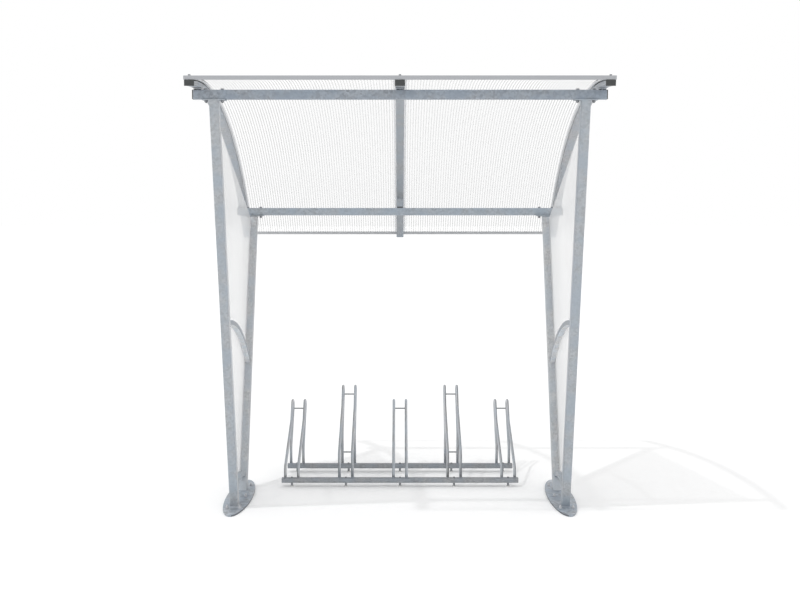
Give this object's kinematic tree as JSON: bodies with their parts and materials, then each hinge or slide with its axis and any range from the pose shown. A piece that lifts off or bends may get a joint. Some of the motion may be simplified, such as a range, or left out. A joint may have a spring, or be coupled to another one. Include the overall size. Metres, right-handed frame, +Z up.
{
  "type": "bike shelter with wheel rack",
  "caption": "Curved translucent canopy on two V-shaped steel end frames, open at front and rear, sheltering a floor rack with low and high wheel hoops.",
  "frame": {"origin": "on the ground under the middle of the shelter's outline", "axes": "+Z up, -Y out of the open front, X across the shelter from end frame to end frame"},
  "size_m": [2.24, 2.1463, 2.5044],
  "materials": {
    "galvanised_steel": "hot-dip galvanised, matt grey with a fine spangle",
    "aluminium_profile": "mill finish, satin",
    "multiwall_sheet": "translucent multiwall plastic sheet with ribs from front to rear",
    "clear_panel": "translucent plain plastic sheet",
    "black_plastic": "matt black moulded plug"
  },
  "bodies": {
    "root": {"front_beam": "galvanised_steel", "front_edge_bar": "aluminium_profile", "front_rafter_seats": "galvanised_steel", "left_base_plate": "galvanised_steel", "left_front_head_plate": "galvanised_steel", "left_front_post": "galvanised_steel", "left_glazing_bar": "aluminium_profile", "left_lower_brace": "galvanised_steel", "left_rafter": "galvanised_steel", "left_rafter_cap": "black_plastic", "left_rear_head_plate": "galvanised_steel", "left_rear_post": "galvanised_steel", "left_roof_sheet": "multiwall_sheet", "left_side_panel": "clear_panel", "left_upper_brace": "galvanised_steel", "middle_glazing_bar": "aluminium_profile", "middle_rafter": "galvanised_steel", "middle_rafter_cap": "black_plastic", "rack_feet": "galvanised_steel", "rack_front_rail": "galvanised_steel", "rack_rear_rail": "galvanised_steel", "rear_beam": "galvanised_steel", "rear_edge_bar": "aluminium_profile", "rear_rafter_seats": "galvanised_steel", "right_base_plate": "galvanised_steel", "right_front_head_plate": "galvanised_steel", "right_front_post": "galvanised_steel", "right_glazing_bar": "aluminium_profile", "right_lower_brace": "galvanised_steel", "right_rafter": "galvanised_steel", "right_rafter_cap": "black_plastic", "right_rear_head_plate": "galvanised_steel", "right_rear_post": "galvanised_steel", "right_roof_sheet": "multiwall_sheet", "right_side_panel": "clear_panel", "right_upper_brace": "galvanised_steel", "wheel_holder_1": "galvanised_steel", "wheel_holder_2": "galvanised_steel", "wheel_holder_3": "galvanised_steel", "wheel_holder_4": "galvanised_steel", "wheel_holder_5": "galvanised_steel"}
  },
  "joints": []
}
